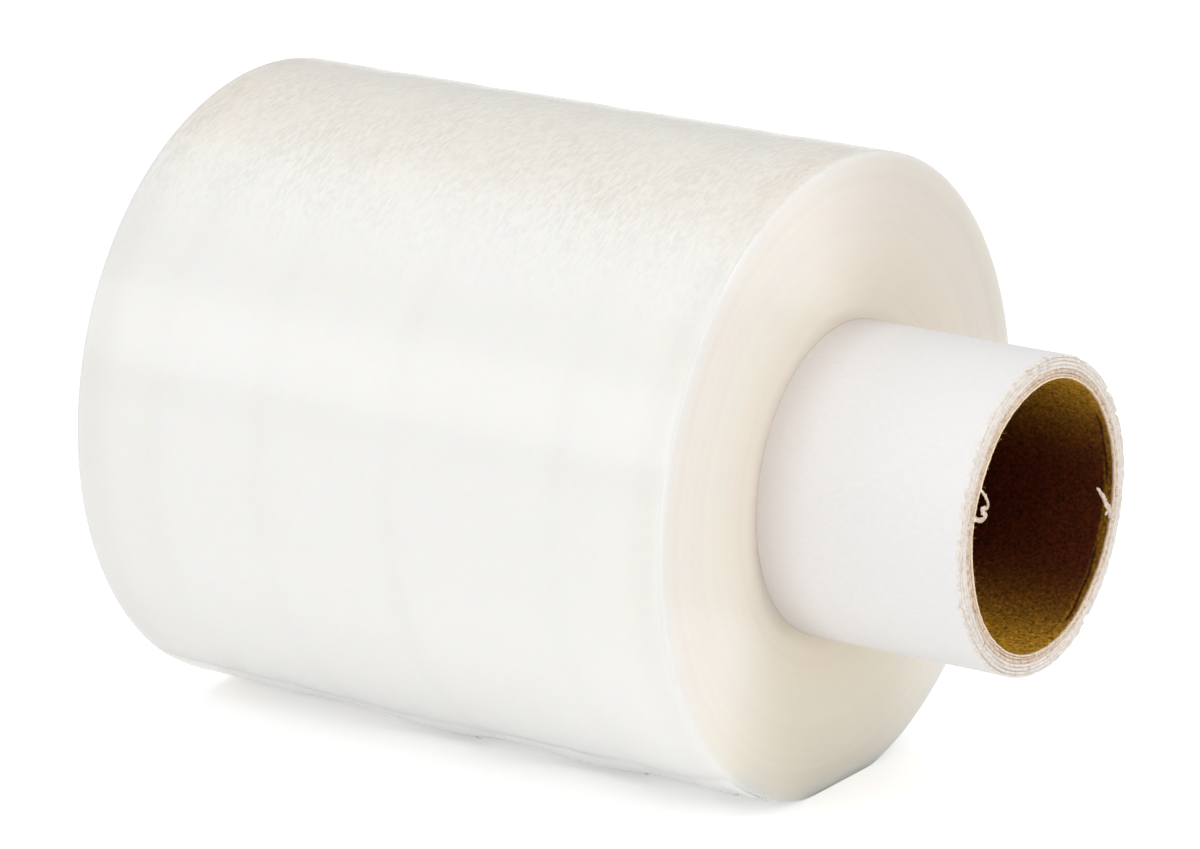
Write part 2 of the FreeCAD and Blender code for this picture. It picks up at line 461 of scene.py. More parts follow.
def specks(tree, coordinates, apart, low, high, strength):
    """Round specks about one distance apart: strength inside each speck and 0 outside. Low and high are the
    inside and the outside of its soft edge, as shares of that distance."""
    spots = add(tree, "ShaderNodeTexVoronoi", {"Vector": coordinates, "Scale": 1 / apart}, feature="F1")
    off = spots.outputs["Distance"]
    return add(tree, "ShaderNodeMapRange", {0: off, 1: low, 2: high, 3: strength, 4: 0.0}, **SOFT)


def kraft_material():
    """Brown kraft board, rolled from recycled fibre: matt, mottled, with pale specks, a pale cut edge and a
    cream burr at the bore with a painted highlight; painted shade in the bore's crease and on one side of the
    bore."""
    material, tree = blank_material("kraft board, wound and glued")
    coordinates = add(tree, "ShaderNodeTexCoord").outputs["Object"]
    radius, along, outward = axis_places(tree, coordinates)
    clumps = mottle(tree, coordinates, KRAFT_CLUMP, 5.0, 0.65)
    wall = add(tree, "ShaderNodeValToRGB", {0: clumps}, ((0.32, KRAFT_DARK), (0.68, KRAFT_LIGHT)))
    fine = mottle(tree, coordinates, KRAFT_GRAIN, 3.0, 0.7)
    fine = add(tree, "ShaderNodeMapRange", {0: fine, 1: 0.3, 2: 0.7, 3: 0.15, 4: 1.5})
    wall = add(tree, "ShaderNodeMix", {0: 1.0, 6: wall, 7: fine}, **TINT)
    pale = specks(tree, coordinates, 4 * MM, 0.035, 0.06, 0.7)
    wall = add(tree, "ShaderNodeMix", {0: pale, 6: wall, 7: linear("D8C9B0")}, **BLEND)

    # Painted shade on one side of the bore, which ends a little behind the rim
    painted_bore_shade = on_side(tree, outward, BORE_SHADE_ANGLE, 0.2, 0.98)
    stop = CORE_END - BORE_SHADE_END
    fade = {0: along, 1: stop - 0.5 * MM, 2: stop, 3: 1.0, 4: 0.65}
    behind_rim = add(tree, "ShaderNodeMapRange", fade, **SOFT)
    painted_bore_shade = add(tree, "ShaderNodeMath", {0: painted_bore_shade, 1: behind_rim}, operation="MULTIPLY")
    wall = add(tree, "ShaderNodeMix", {0: painted_bore_shade, 6: wall, 7: linear(BORE_SHADE_TINT)}, **TINT)

    # The mesh marks cut edges with 1 and the crease in the bore with -1
    cut = add(tree, "ShaderNodeAttribute", attribute_name="cut").outputs["Fac"]
    # The crease is painted darker, as the shade that falls in it
    creased_and_shaded = add(tree, "ShaderNodeMapRange", {0: cut, 1: -1.0, 2: 0.0, 3: 1.0, 4: 0.0}, **SOFT)
    wall = add(tree, "ShaderNodeMix", {0: creased_and_shaded, 6: wall, 7: linear("705038")}, **TINT)
    edge = add(tree, "ShaderNodeValToRGB", {0: clumps}, ((0.35, "CDB199"), (0.62, "F3E2D2")))
    # Cream burr at the bore's edge, painted lighter still as a highlight along it
    off_burr = add(tree, "ShaderNodeMath", {0: radius, 1: BORE_RADIUS + BURR_PLACE}, operation="SUBTRACT")
    off_burr = add(tree, "ShaderNodeMath", {0: off_burr}, operation="ABSOLUTE")
    burr_and_highlight = add(tree, "ShaderNodeMapRange", {0: off_burr, 1: 0.1 * MM, 2: 0.24 * MM, 3: 1.0, 4: 0.0}, **SOFT)
    edge = add(tree, "ShaderNodeMix", {0: burr_and_highlight, 6: edge, 7: linear("FBEBD3")}, **BLEND)
    colour = add(tree, "ShaderNodeMix", {0: cut, 6: wall, 7: edge}, **BLEND)
    bumps = add(tree, "ShaderNodeBump", {"Strength": 0.6, "Distance": 0.04 * MM, "Height": clumps})
    finish = {"Base Color": colour, "Roughness": 0.9, "Specular IOR Level": 0.2, "Normal": bumps}
    shader = add(tree, "ShaderNodeBsdfPrincipled", finish)
    add(tree, "ShaderNodeOutputMaterial", {"Surface": shader})
    return material


def paper_material():
    """White core paper, calendered on its outside: matt, near white, with faint fibre and a few dark specks,
    and painted greyer where it meets the film, as the shade that falls there."""
    material, tree = blank_material("white paper, calendered")
    coordinates = add(tree, "ShaderNodeTexCoord").outputs["Object"]
    along = add(tree, "ShaderNodeSeparateXYZ", {0: coordinates}).outputs["X"]
    clumps = mottle(tree, coordinates, PAPER_CLUMP, 4.0, 0.6)
    sheet = add(tree, "ShaderNodeValToRGB", {0: clumps}, ((0.3, "F0EFEE"), (0.7, "F4F3F2")))
    dark = specks(tree, coordinates, 9 * MM, 0.02, 0.035, 0.5)
    sheet = add(tree, "ShaderNodeMix", {0: dark, 6: sheet, 7: linear("A09A92")}, **BLEND)
    # Painted shade on the paper beside the film
    fade = {0: along, 1: FILM_FRONT, 2: FILM_FRONT + FILM_SHADE_REACH, 3: 1.0, 4: 0.0}
    shaded_by_film = add(tree, "ShaderNodeMapRange", fade, **SOFT)
    sheet = add(tree, "ShaderNodeMix", {0: shaded_by_film, 6: sheet, 7: linear(FILM_SHADE_TINT)}, **TINT)

    # The mesh marks cut edges with 1
    cut = add(tree, "ShaderNodeAttribute", attribute_name="cut").outputs["Fac"]
    torn = mottle(tree, coordinates, TORN_GRAIN, 4.0, 0.7)
    edge = add(tree, "ShaderNodeValToRGB", {0: torn}, ((0.32, "E0D3C7"), (0.55, "F6EFE8")))
    colour = add(tree, "ShaderNodeMix", {0: cut, 6: sheet, 7: edge}, **BLEND)
    bumps = add(tree, "ShaderNodeBump", {"Strength": 1.0, "Distance": 0.015 * MM, "Height": clumps})
    finish = {"Base Color": colour, "Roughness": 0.8, "IOR": 1.45, "Normal": bumps}
    shader = add(tree, "ShaderNodeBsdfPrincipled", finish)
    add(tree, "ShaderNodeOutputMaterial", {"Surface": shader})
    return material


def floor_material():
    """Pale matt table. What the camera, gloss and clear things see of it is lifted to white, but for
    shade."""
    material, tree = blank_material("white table, matt")
    diffuse = add(tree, "ShaderNodeBsdfDiffuse", {"Color": linear("F8F8F8")})
    rays = add(tree, "ShaderNodeLightPath").outputs
    seen = {0: rays["Is Camera Ray"], 1: rays["Is Glossy Ray"]}
    seen = add(tree, "ShaderNodeMath", seen, operation="MAXIMUM")
    seen = add(tree, "ShaderNodeMath", {0: seen, 1: rays["Is Transmission Ray"]}, operation="MAXIMUM")
    strength = add(tree, "ShaderNodeMath", {0: seen, 1: FLOOR_LIFT}, operation="MULTIPLY")
    lift = add(tree, "ShaderNodeEmission", {"Color": (1, 1, 1, 1), "Strength": strength})
    both = add(tree, "ShaderNodeAddShader", {0: diffuse, 1: lift})
    add(tree, "ShaderNodeOutputMaterial", {"Surface": both})
    return material


def object_from(name, vertices, faces, material, cut=None):
    """Mesh object at the origin, smooth, with outward faces and an optional mark on its cut edges."""
    mesh = bpy.data.meshes.new(name)
    mesh.from_pydata(vertices, [], faces)
    mesh.materials.append(material)
    if cut is not None:
        mark = mesh.attributes.new("cut", "FLOAT", "POINT")
        mark.data.foreach_set("value", np.asarray(cut, dtype=np.float32))
    shell = bmesh.new()
    shell.from_mesh(mesh)
    bmesh.ops.recalc_face_normals(shell, faces=shell.faces)
    shell.to_mesh(mesh)
    shell.free()
    mesh.shade_smooth()
    mesh.update()
    made = bpy.data.objects.new(name, mesh)
    bpy.context.scene.collection.objects.link(made)
    return made


def loop_faces(steps, points, first=0):
    """Faces of a closed ring of steps, each a closed outline of points."""
    faces = []
    for step in range(steps):
        here = first + step * points
        there = first + (step + 1) % steps * points
        for i in range(points):
            after = (i + 1) % points
            faces.append((here + i, here + after, there + after, there + i))
    return faces


def around_axis(x, radius, angle):
    """Places at x along the axis and radius from it; angle 0 faces the camera's side, 90 degrees is up."""
    return np.stack([x, -radius * np.cos(angle), AXIS_HEIGHT + radius * np.sin(angle)], axis=-1)


def span(start, end, step):
    """Even values from start up to, but not at, end, about step apart."""
    count = max(1, round(abs(end - start) / step))
    return [start + (end - start) * i / count for i in range(count)]


def film_outline():
    """Closed outline of the wound film, (x, radius), with rounded edges."""
    flat_step = 0.75 * MM
    face_step = 0.7 * MM
    round_steps = 7
    top = FILM_RADIUS - EDGE_ROUND

    # Points this close to each corner keep its smooth shading off the flat beside it
    tight = 0.08 * MM
    points = [(FILM_BACK, CORE_RADIUS)]
    points += [(FILM_BACK, r) for r in span(CORE_RADIUS + tight, top - tight, face_step)]
    points.append((FILM_BACK, top - tight))
    for i in range(round_steps):
        turn = math.radians(90) * i / round_steps
        x = FILM_BACK + EDGE_ROUND * (1 - math.cos(turn))
        points.append((x, top + EDGE_ROUND * math.sin(turn)))
    side_from = FILM_BACK + EDGE_ROUND
    side_to = FILM_FRONT - EDGE_ROUND
    points.append((side_from, FILM_RADIUS))
    points += [(x, FILM_RADIUS) for x in span(side_from + tight, side_to - tight, flat_step)]
    points.append((side_to - tight, FILM_RADIUS))
    for i in range(round_steps):
        turn = math.radians(90) * i / round_steps
        x = FILM_FRONT - EDGE_ROUND * (1 - math.sin(turn))
        points.append((x, top + EDGE_ROUND * math.cos(turn)))
    points.append((FILM_FRONT, top))
    points += [(FILM_FRONT, r) for r in span(top - tight, CORE_RADIUS + tight, face_step)]
    points += [(FILM_FRONT, CORE_RADIUS + tight), (FILM_FRONT, CORE_RADIUS)]
    points += [(x, CORE_RADIUS) for x in span(FILM_FRONT - tight, FILM_BACK + tight, FILM_WIDTH / 6)]
    points.append((FILM_BACK + tight, CORE_RADIUS))
    return np.array(points)


def film_surface_tree(finish):
    """Shapes the turned film: dips, waves and ruffles outside, rings on its faces, and a flat underneath."""
    tree = bpy.data.node_groups.new("film surface", "GeometryNodeTree")
    tree.interface.new_socket("Geometry", in_out="INPUT", socket_type="NodeSocketGeometry")
    tree.interface.new_socket("Geometry", in_out="OUTPUT", socket_type="NodeSocketGeometry")
    for name in FILM_SIZES:
        tree.interface.new_socket(name, in_out="INPUT", socket_type="NodeSocketFloat")
    given = add(tree, "NodeGroupInput").outputs
    place = add(tree, "GeometryNodeInputPosition")
    parts = add(tree, "ShaderNodeSeparateXYZ", {0: place}).outputs
    lift = add(tree, "ShaderNodeMath", {0: parts["Z"], 1: given["Axis height"]}, operation="SUBTRACT")
    across = add(tree, "ShaderNodeCombineXYZ", {"Y": parts["Y"], "Z": lift})
    radius = add(tree, "ShaderNodeVectorMath", {0: across}, operation="LENGTH").outputs["Value"]
    outward = add(tree, "ShaderNodeVectorMath", {0: across}, operation="NORMALIZE")
    front_side = add(tree, "ShaderNodeMath", {0: parts["Y"], 1: -1.0}, operation="MULTIPLY")
    angle = add(tree, "ShaderNodeMath", {0: lift, 1: front_side}, operation="ARCTAN2")
    depth = add(tree, "ShaderNodeMath", {0: given["Outside radius"], 1: radius}, operation="SUBTRACT")
    fade = {0: depth, 1: FADE_DEPTH[0], 2: FADE_DEPTH[1], 3: 1.0, 4: 0.0}
    outside = add(tree, "ShaderNodeMapRange", fade, **SOFT)

    # Waves and creases, stretched around the roll
    rises = []
    for kind, stretch in (("Wave", 1.6), ("Crease", 2.2)):
        frequency = add(tree, "ShaderNodeMath", {0: 1.0, 1: given[kind + " length"]}, operation="DIVIDE")
        scaled = add(tree, "ShaderNodeVectorMath", {0: place, "Scale": frequency}, operation="SCALE")
        squeeze = (1, 1 / stretch, 1 / stretch)
        squeezed = add(tree, "ShaderNodeVectorMath", {0: scaled, 1: squeeze}, operation="MULTIPLY")
        pattern = {"Vector": squeezed, "W": given["Seed"], "Scale": 1.0, "Detail": 1.0}
        wave = add(tree, "ShaderNodeTexNoise", pattern, noise_dimensions="4D")
        centred = add(tree, "ShaderNodeMath", {0: wave, 1: 0.5}, operation="SUBTRACT")
        height = given[kind + " height"]
        rises.append(add(tree, "ShaderNodeMath", {0: centred, 1: height}, operation="MULTIPLY"))

    def bell(value, middle, width):
        """Smooth hump of height 1 where value is at middle."""
        off = add(tree, "ShaderNodeMath", {0: value, 1: middle}, operation="SUBTRACT")
        wide = add(tree, "ShaderNodeMath", {0: off, 1: width}, operation="DIVIDE")
        square = add(tree, "ShaderNodeMath", {0: wide, 1: wide}, operation="MULTIPLY")
        minus = add(tree, "ShaderNodeMath", {0: square, 1: -1.0}, operation="MULTIPLY")
        return add(tree, "ShaderNodeMath", {0: minus}, operation="EXPONENT")

    for share in DIP_PLACES:
        dip = bell(parts["X"], FILM_BACK + share * FILM_WIDTH, given["Dip width"])
        deep = add(tree, "ShaderNodeMath", {0: dip, 1: given["Dip depth"]}, operation="MULTIPLY")
        rises.append(add(tree, "ShaderNodeMath", {0: deep, 1: -1.0}, operation="MULTIPLY"))
    for share, width, rise, degrees in RUFFLES:
        along = bell(parts["X"], FILM_BACK + share * FILM_WIDTH, width)
        round_it = bell(angle, math.radians(degrees), math.radians(RUFFLE_SPREAD))
        both = add(tree, "ShaderNodeMath", {0: along, 1: round_it}, operation="MULTIPLY")
        rises.append(add(tree, "ShaderNodeMath", {0: both, 1: rise}, operation="MULTIPLY"))
    total = rises[0]
    for rise in rises[1:]:
        total = add(tree, "ShaderNodeMath", {0: total, 1: rise}, operation="ADD")
    outer_rise = add(tree, "ShaderNodeMath", {0: total, 1: outside}, operation="MULTIPLY")
    out_move = add(tree, "ShaderNodeVectorMath", {0: outward, "Scale": outer_rise}, operation="SCALE")

    # Rings on both faces
    ring_scale = add(tree, "ShaderNodeMath", {0: 1.0, 1: given["Ring width"]}, operation="DIVIDE")
    pattern = {"W": radius, "Scale": ring_scale, "Detail": 1.0}
    ring = add(tree, "ShaderNodeTexNoise", pattern, noise_dimensions="1D")
    ring = add(tree, "ShaderNodeMath", {0: ring, 1: -0.5}, operation="ADD")
    ring = add(tree, "ShaderNodeMath", {0: ring, 1: given["Ring height"]}, operation="MULTIPLY")
    inside = add(tree, "ShaderNodeMath", {0: 1.0, 1: outside}, operation="SUBTRACT")
    ring = add(tree, "ShaderNodeMath", {0: ring, 1: inside}, operation="MULTIPLY")
    towards = add(tree, "ShaderNodeMath", {0: parts["X"], 1: FILM_MIDDLE}, operation="SUBTRACT")
    towards = add(tree, "ShaderNodeMath", {0: towards}, operation="SIGN")
    ring = add(tree, "ShaderNodeMath", {0: ring, 1: towards}, operation="MULTIPLY")
    ring_move = add(tree, "ShaderNodeCombineXYZ", {"X": ring})

    # Flat underneath: nothing goes below the table
    moved = add(tree, "ShaderNodeVectorMath", {0: place, 1: out_move}, operation="ADD")
    moved = add(tree, "ShaderNodeVectorMath", {0: moved, 1: ring_move}, operation="ADD")
    end = add(tree, "ShaderNodeSeparateXYZ", {0: moved}).outputs
    rested = add(tree, "ShaderNodeMath", {0: end["Z"], 1: 0.0, 2: FLAT_SOFTNESS}, operation="SMOOTH_MAX")
    lying = add(tree, "ShaderNodeCombineXYZ", {"X": end["X"], "Y": end["Y"], "Z": rested})
    shaped = add(tree, "GeometryNodeSetPosition", {"Geometry": given["Geometry"], "Position": lying})
    whole = add(tree, "GeometryNodeRealizeInstances", {"Geometry": shaped})
    finished = add(tree, "GeometryNodeSetMaterial", {"Geometry": whole, "Material": finish})
    add(tree, "NodeGroupOutput", {"Geometry": finished})
    return tree


def run_tree(made, tree, sizes):
    """Runs a geometry tree on an object and leaves the plain mesh that it makes."""
    modifier = made.modifiers.new(tree.name, "NODES")
    modifier.node_group = tree
    for item in tree.interface.items_tree:
        if item.item_type == "SOCKET" and item.in_out == "INPUT" and item.name in sizes:
            modifier[item.identifier] = sizes[item.name]
    graph = bpy.context.evaluated_depsgraph_get()
    mesh = bpy.data.meshes.new_from_object(made.evaluated_get(graph), depsgraph=graph)
    made.modifiers.remove(modifier)
    made.data = mesh
    return made


def wound_film(finish):
    """All the turns of film."""
    steps = 420
    outline = film_outline()
    angles = np.arange(steps) * math.tau / steps
    x = np.broadcast_to(outline[:, 0], (steps, len(outline)))
    radius = np.broadcast_to(outline[:, 1], (steps, len(outline)))
    places = around_axis(x, radius, angles[:, None])
    faces = loop_faces(steps, len(outline))
    made = object_from("wound_film", places.reshape(-1, 3).tolist(), faces, finish)
    return run_tree(made, film_surface_tree(finish), FILM_SIZES)


def uneven(angles, seed, waves):
    """Uneven line round the core, from -1 to 1, the same on every run. Each kind of wave has the fewest and
    the most that fit round, and a height."""
    draw = np.random.default_rng(seed)
    total = np.zeros_like(angles)
    reach = 0.0
    for low, high, height in waves:
        for count in draw.integers(low, high, 6):
            total += height * np.sin(count * angles + draw.uniform(0, math.tau))
            reach += height * 0.5
    return np.clip(total / reach, -1, 1)


def notch(angles, degrees, width):
    """Narrow dip at one angle round the rim, 1 at its middle; width is measured on the rim."""
    off = (angles - math.radians(degrees) + math.pi) % math.tau - math.pi
    return np.exp(-(off * CORE_RADIUS / (width / 2)) ** 4)


def bent(angles, low, high, soft):
    """1 between two angles in degrees and 0 elsewhere, with soft ends."""
    middle = math.radians((low + high) / 2)
    half = math.radians((high - low) / 2)
    off = np.abs((angles - middle + math.pi) % math.tau - math.pi)
    return np.clip((half - off) / math.radians(soft) + 0.5, 0, 1)


def ply_ring(inner, outer, recess, ragged, flare, seed, cracks=(), creased_and_shaded=False):
    """Places and cut marks of one ply of the core: a thin tube with an uneven end at the rim."""
    angles = np.arange(CORE_STEPS) * math.tau / CORE_STEPS
    end = CORE_END - recess - ragged * uneven(angles, seed, ((3, 12, 1.0), (20, 70, 0.6), (90, 200, 0.4)))
    for degrees, width, depth in cracks:
        end = end - depth * notch(angles, degrees, width)
    lean = flare * uneven(angles, seed + 50, ((2, 9, 1.0), (15, 40, 0.7), (60, 120, 0.4)))
    half = (outer - inner) / 2
    rows = []

    def row(depth, radius, cut):
        """One line round the ply, depth behind its end."""
        follow = math.exp(-depth / (2.5 * MM))
        x = CORE_END - recess - depth + (end - CORE_END + recess) * follow
        rows.append((x, radius + lean * math.exp(-depth / (1.2 * MM)), cut))

    # Lines in turn: over the ragged end, back along the outside, round the far end and forward along the
    # inside. Each has a depth, how far it lies into the ply as a share of half of it, and a cut mark.
    row(0.0, (inner + outer) / 2, 1.0)
    for depth, inset, cut in ((0.03, 0.35, 1.0), (0.12, 0.1, 1.0), (0.3, 0.0, 0.6), (0.5, 0.0, 0.0)):
        row(depth * MM, outer - inset * half, cut)
    for depth in (0.9, 1.5, 2.5, 5.0, 20.0):
        row(depth * MM, outer, 0.0)
    for depth, inset, cut in ((0.4, 0.0, 0.0), (0.06, 0.0, 0.6), (0.0, 0.2, 1.0)):
        rows.append((np.full(CORE_STEPS, CORE_BACK + depth * MM), outer - inset * half, cut))
    for depth, inset, cut in ((0.0, 0.2, 1.0), (0.06, 0.0, 0.6), (0.4, 0.0, 0.0)):
        rows.append((np.full(CORE_STEPS, CORE_BACK + depth * MM), inner + inset * half, cut))
    for depth in (20.0, 5.0, 2.5):
        row(depth * MM, inner, 0.0)
    groove = CREASE_DEEP * sum(bent(angles, *stretch) for stretch in CREASE_SPANS) if creased_and_shaded else 0.0
    middle = CREASE_BACK + CREASE_DRIFT * uneven(angles, seed + 90, ((2, 6, 1.0), (12, 30, 0.4)))
    for share in (1.2, 0.6, 0.0, -0.6, -1.2):
        depth = middle + share * CREASE_WIDE
        x = CORE_END - recess - depth
        deep = groove * (1 - min(1.0, abs(share)))
        rows.append((x, inner + deep, -deep / CREASE_DEEP))
    for depth, inset, cut in ((0.5, 0.0, 0.0), (0.3, 0.0, 0.6), (0.12, 0.1, 1.0), (0.03, 0.35, 1.0)):
        row(depth * MM, inner + inset * half, cut)
    x = np.stack([np.broadcast_to(r[0], CORE_STEPS) for r in rows], axis=1)
    radius = np.stack([np.broadcast_to(r[1], CORE_STEPS) for r in rows], axis=1)
    cut = np.stack([np.broadcast_to(r[2], CORE_STEPS) for r in rows], axis=1)
    return around_axis(x, radius, angles[:, None]).reshape(-1, 3), cut.reshape(-1), len(rows)


def plies(name, material, inner, sheets, seed, cracks=(), creased_and_shaded=False):
    """Glued plies as one piece, each a thin tube round the one before."""
    vertices = []
    faces = []
    marks = []
    for index, (thick, recess, ragged, flare) in enumerate(sheets):
        torn = [(angle, width, depth) for angle, width, depth, low, high in cracks if low <= index <= high]
        last = index == len(sheets) - 1
        outer = inner + thick - (0 if last else PLY_GAP)
        first = creased_and_shaded and index == 0
        places, cut, points = ply_ring(inner, outer, recess, ragged, flare, seed + index, torn, first)
        faces += loop_faces(CORE_STEPS, points, len(vertices))
        vertices += places.tolist()
        marks += cut.tolist()
        inner += thick
    return object_from(name, vertices, faces, material, marks)


def thin_sheet(places, thickness):
    """Closed thin sheet about a grid of places, as vertices and faces."""
    rows, columns = places.shape[:2]
    along = np.gradient(places, axis=0)
    across = np.gradient(places, axis=1)
    normal = np.cross(along, across)
    normal /= np.linalg.norm(normal, axis=2, keepdims=True) + 1e-12
    top = places + normal * thickness / 2
    under = places - normal * thickness / 2
    vertices = np.concatenate([top.reshape(-1, 3), under.reshape(-1, 3)]).tolist()
    below = rows * columns
    faces = []
    for i in range(rows - 1):
        for j in range(columns - 1):
            here = i * columns + j
            there = here + columns
            corner = (here, there, there + 1, here + 1)
            faces.append(corner)
            faces.append(tuple(c + below for c in reversed(corner)))
    rim = [i * columns for i in range(rows - 1)]
    rim += [(rows - 1) * columns + j for j in range(columns - 1)]
    rim += [(rows - 1 - i) * columns + columns - 1 for i in range(rows - 1)]
    rim += list(range(columns - 1, 0, -1))
    for here, there in zip(rim, rim[1:] + rim[:1]):
        faces.append((here + below, there + below, there, here))
    return vertices, faces


def smooth_line(points, count):
    """Catmull-Rom line through rows of numbers."""
    points = np.array(points, dtype=float)
    padded = np.vstack([2 * points[0] - points[1], points, 2 * points[-1] - points[-2]])
    made = []
    for place in np.linspace(0, len(points) - 1 - 1e-9, count):
        i = int(place)
        t = place - i
        a, b, c, d = padded[i:i + 4]
        curve = (2 * a - 5 * b + 4 * c - d) * t * t + (3 * b - a - 3 * c + d) * t ** 3
        made.append(0.5 * (2 * b + (c - a) * t + curve))
    return np.array(made)


def shred(points, count, seed):
    """Strip of torn board along a line of (past rim, from axis, angle, width), with uneven edges."""
    line = smooth_line(points, count)
    middle = around_axis(CORE_END + line[:, 0] * MM, line[:, 1] * MM, np.radians(line[:, 2]))
    onward = np.gradient(middle, axis=0)
    onward /= np.linalg.norm(onward, axis=1, keepdims=True)
    sideways = np.cross(onward, (1.0, 0.0, 0.0))
    sideways /= np.linalg.norm(sideways, axis=1, keepdims=True)
    lift = np.cross(sideways, onward)
    draw = np.random.default_rng(seed)
    grid = []
    for share in (-1.0, -0.5, 0.0, 0.5, 1.0):
        rough = 1 + (SHRED_ROUGH * draw.standard_normal(count) if abs(share) == 1 else 0)
        width = (line[:, 3] * MM / 2 * share * rough)[:, None]
        grid.append(middle + sideways * width + lift * (SHRED_CURL * (1 - share * share)))
    return thin_sheet(np.stack(grid, axis=1), SHRED_THICK)


def shreds(material):
    """The curled shred at the bore's left edge and the pointed one at its right."""
    vertices = []
    faces = []
    for points, count, seed in ((LEFT_SHRED, 56, 3), (RIGHT_SHRED, 44, 4), (STUB_SHRED, 12, 5)):
        more, joined = shred(points, count, seed)
        faces += [tuple(c + len(vertices) for c in face) for face in joined]
        vertices += more
    return object_from("torn_shreds", vertices, faces, material, np.ones(len(vertices)))


def rise_and_fall(x, start, full, hold, end):
    """0 before start, smoothly 1 from full to hold, and 0 again after end."""
    up = np.clip((x - start) / (full - start), 0, 1)
    down = np.clip((end - x) / (end - hold), 0, 1)
    return up * up * (3 - 2 * up) * down * down * (3 - 2 * down)


def loose_edge(material):
    """Free edge of the last turn: a thin strip that lies on the roll and hangs out a little in places."""
    x = np.linspace(LOOSE_INSET, FILM_WIDTH - LOOSE_INSET, 360)
    turn = 2 * math.pi * x / MM
    edge = LOOSE_TO
    for height, length, start in LOOSE_WAVES:
        edge = edge + height * np.sin(turn / length + start)
    lift = 0.05 * MM + 0.04 * MM * np.sin(turn / 17 + 2.0)
    for start, full, hold, end, drop, rise in LOOSE_FLAPS:
        shape = rise_and_fall(x, start, full, hold, end)
        edge = edge - drop * shape
        lift = lift + rise * shape
    bump = np.zeros_like(x)
    for share, width, rise, degrees in RUFFLES:
        bump += rise * np.exp(-((x - share * FILM_WIDTH) / width) ** 2)
    dips = np.zeros_like(x)
    for share in DIP_PLACES:
        dips += DIP_DEPTH * np.exp(-((x - share * FILM_WIDTH) / DIP_WIDTH) ** 2)
    places = []
    for share in np.linspace(0, 1, 16):
        angle = LOOSE_FROM + (edge - LOOSE_FROM) * share
        near = np.exp(-((angle - RUFFLES[0][3]) / RUFFLE_SPREAD) ** 2)
        radius = FILM_RADIUS - dips + bump * near
        radius = radius + (lift + LOOSE_THICK) * share ** 3 - LOOSE_THICK * (1 - share)
        places.append(around_axis(FILM_BACK + x, radius, np.radians(angle)))
    vertices, faces = thin_sheet(np.stack(places, axis=1), LOOSE_THICK)
    return object_from("loose_edge", vertices, faces, material)


def fibre_tree(finish):
    """Short bent fibres on every point of the lines it is given."""
    tree = bpy.data.node_groups.new("rim fibres", "GeometryNodeTree")
    tree.interface.new_socket("Geometry", in_out="INPUT", socket_type="NodeSocketGeometry")
    tree.interface.new_socket("Geometry", in_out="OUTPUT", socket_type="NodeSocketGeometry")
    tree.interface.new_socket("Fibre count", in_out="INPUT", socket_type="NodeSocketInt")
    tree.interface.new_socket("Fibre length", in_out="INPUT", socket_type="NodeSocketFloat")
    tree.interface.new_socket("Fibre radius", in_out="INPUT", socket_type="NodeSocketFloat")
    tree.interface.new_socket("Seed", in_out="INPUT", socket_type="NodeSocketInt")
    given = add(tree, "NodeGroupInput").outputs
    line = add(tree, "GeometryNodeMeshToCurve", {"Mesh": given["Geometry"]})
    spots = {"Curve": line, "Count": given["Fibre count"]}
    spots = add(tree, "GeometryNodeResampleCurve", spots, mode="COUNT")
    half = add(tree, "ShaderNodeMath", {0: given["Fibre length"], 1: 0.5}, operation="MULTIPLY")
    middle = add(tree, "ShaderNodeCombineXYZ", {"X": half, "Y": half})
    tip = add(tree, "ShaderNodeCombineXYZ", {"X": given["Fibre length"]})
    bend = {"Resolution": 4, "Start": (0, 0, 0), "Middle": middle, "End": tip}
    fibre = add(tree, "GeometryNodeCurveQuadraticBezier", bend)
    section = {"Resolution": 3, "Radius": given["Fibre radius"]}
    section = add(tree, "GeometryNodeCurvePrimitiveCircle", section)
    strand = {"Curve": fibre, "Profile Curve": section, "Fill Caps": True}
    strand = add(tree, "GeometryNodeCurveToMesh", strand)
    turns = {0: (-3.1, -1.2, -3.1), 1: (3.1, 1.2, 3.1), "Seed": given["Seed"]}
    turn = add(tree, "FunctionNodeRandomValue", turns, data_type="FLOAT_VECTOR")
    second = add(tree, "ShaderNodeMath", {0: given["Seed"], 1: 1.0}, operation="ADD")
    size = add(tree, "FunctionNodeRandomValue", {2: 0.3, 3: 1.4, "Seed": second}, data_type="FLOAT")
    copies = {"Points": spots, "Instance": strand, "Rotation": turn, "Scale": size}
    placed = add(tree, "GeometryNodeInstanceOnPoints", copies)
    whole = add(tree, "GeometryNodeRealizeInstances", {"Geometry": placed})
    finished = add(tree, "GeometryNodeSetMaterial", {"Geometry": whole, "Material": finish})
    add(tree, "NodeGroupOutput", {"Geometry": finished})
    return tree


def rim_fibres(name, material, place, seed):
    """Fibres standing out of one torn edge of the core, from a ring at a place (x, radius)."""
    x, radius = place
    angles = np.arange(FIBRE_STEPS) * math.tau / FIBRE_STEPS
    places = around_axis(np.full(FIBRE_STEPS, x), np.full(FIBRE_STEPS, radius), angles).tolist()
    mesh = bpy.data.meshes.new(name)
    mesh.from_pydata(places, [(i, (i + 1) % FIBRE_STEPS) for i in range(FIBRE_STEPS)], [])
    made = bpy.data.objects.new(name, mesh)
    bpy.context.scene.collection.objects.link(made)
    sizes = {"Fibre count": FIBRE_COUNT, "Fibre length": FIBRE_LENGTH, "Fibre radius": FIBRE_RADIUS}
    return run_tree(made, fibre_tree(material), {**sizes, "Seed": seed})


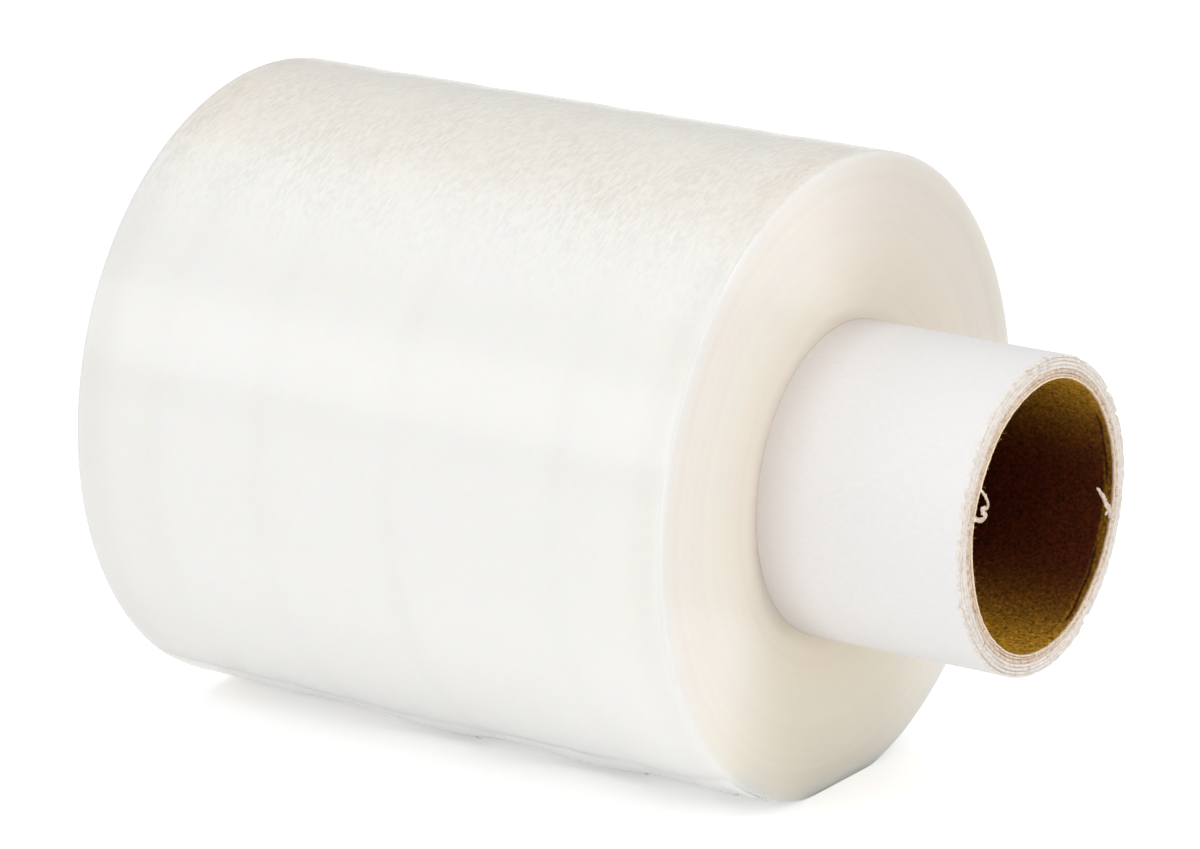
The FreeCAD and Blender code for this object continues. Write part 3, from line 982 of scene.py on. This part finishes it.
def table(material):
    """Large flat table just under the roll."""
    corners = [(x * TABLE_HALF, y * TABLE_HALF, -TABLE_GAP) for x, y in ((-1, -1), (1, -1), (1, 1), (-1, 1))]
    made = object_from("table", corners, [(0, 1, 2, 3)], material)


def lamp(name, direction, distance, width, height, power):
    """Soft rectangular lamp that faces the roll from a direction."""
    light = bpy.data.lights.new(name, "AREA")
    light.shape = "RECTANGLE"
    light.size = width
    light.size_y = height
    light.energy = power
    made = bpy.data.objects.new(name, light)
    bpy.context.scene.collection.objects.link(made)
    towards = Vector(direction).normalized()
    made.location = Vector((0, 0, AXIS_HEIGHT)) + towards * distance
    made.rotation_euler = (-towards).to_track_quat("-Z", "Y").to_euler()


def camera():
    """Long lens from the front right, a little above, as in the photograph."""
    data = bpy.data.cameras.new("camera")
    data.sensor_width = 36
    data.lens = CAMERA_LENS
    data.clip_start = 0.05
    made = bpy.data.objects.new("camera", data)
    bpy.context.scene.collection.objects.link(made)
    made.location = CAMERA_PLACE
    made.rotation_euler = (CAMERA_LOOKS_AT - CAMERA_PLACE).to_track_quat("-Z", "Y").to_euler()
    bpy.context.scene.camera = made


def surroundings():
    """Even pale light from all round, none from the dark side in front; the camera sees white."""
    world = bpy.data.worlds.new("pale room")
    bpy.context.scene.world = world
    world.use_nodes = True
    tree = world.node_tree
    tree.nodes.clear()
    direction = add(tree, "ShaderNodeTexCoord").outputs["Generated"]
    upright = add(tree, "ShaderNodeVectorMath", {0: direction, 1: (1, 1, 2.2)}, operation="MULTIPLY")
    upright = add(tree, "ShaderNodeVectorMath", {0: upright}, operation="NORMALIZE")
    dark = Vector(DARK_SIDE).normalized()
    facing = add(tree, "ShaderNodeVectorMath", {0: upright, 1: dark}, operation="DOT_PRODUCT")
    level = add(tree, "ShaderNodeMapRange", {0: facing, 1: 0.5, 2: 0.9, 3: ROOM_LIGHT, 4: 0.0}, **SOFT)
    seen = add(tree, "ShaderNodeLightPath").outputs["Is Camera Ray"]
    shown = add(tree, "ShaderNodeMix", {0: seen, 2: level, 3: 1.0}, data_type="FLOAT")
    light = add(tree, "ShaderNodeBackground", {"Color": (1, 1, 1, 1), "Strength": shown})
    add(tree, "ShaderNodeOutputWorld", {"Surface": light})


film = film_material()
single_film = loose_film_material()
kraft = kraft_material()
paper = paper_material()

roll = wound_film(film)
edge = loose_edge(single_film)
brown = plies("kraft_plies", kraft, BORE_RADIUS, KRAFT_PLIES, KRAFT_SEED, creased_and_shaded=True)
white = plies("white_plies", paper, KRAFT_RADIUS, PAPER_PLIES, PAPER_SEED, CRACKS)
torn = shreds(kraft)
bore_fuzz = rim_fibres("bore_edge_fibres", kraft, BORE_FUZZ, FIBRE_SEED)
outer_fuzz = rim_fibres("outer_edge_fibres", paper, OUTER_FUZZ, FIBRE_SEED + 3)
middle_fuzz = rim_fibres("ply_edge_fibres", paper, MIDDLE_FUZZ, FIBRE_SEED + 6)

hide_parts("film_roll")
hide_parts("core_tube")
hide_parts("core_outer_paper")
for piece, finish in (
    (roll, "film"), (edge, "film"), (brown, "kraft_board"), (torn, "kraft_board"), (bore_fuzz, "kraft_board"),
    (white, "white_paper"), (outer_fuzz, "white_paper"), (middle_fuzz, "white_paper"),
):
    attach(piece, "root")

table(floor_material())
for name, settings in LAMPS.items():
    lamp(name, *settings)
surroundings()
camera()
bpy.context.scene.view_settings.view_transform = "Standard"
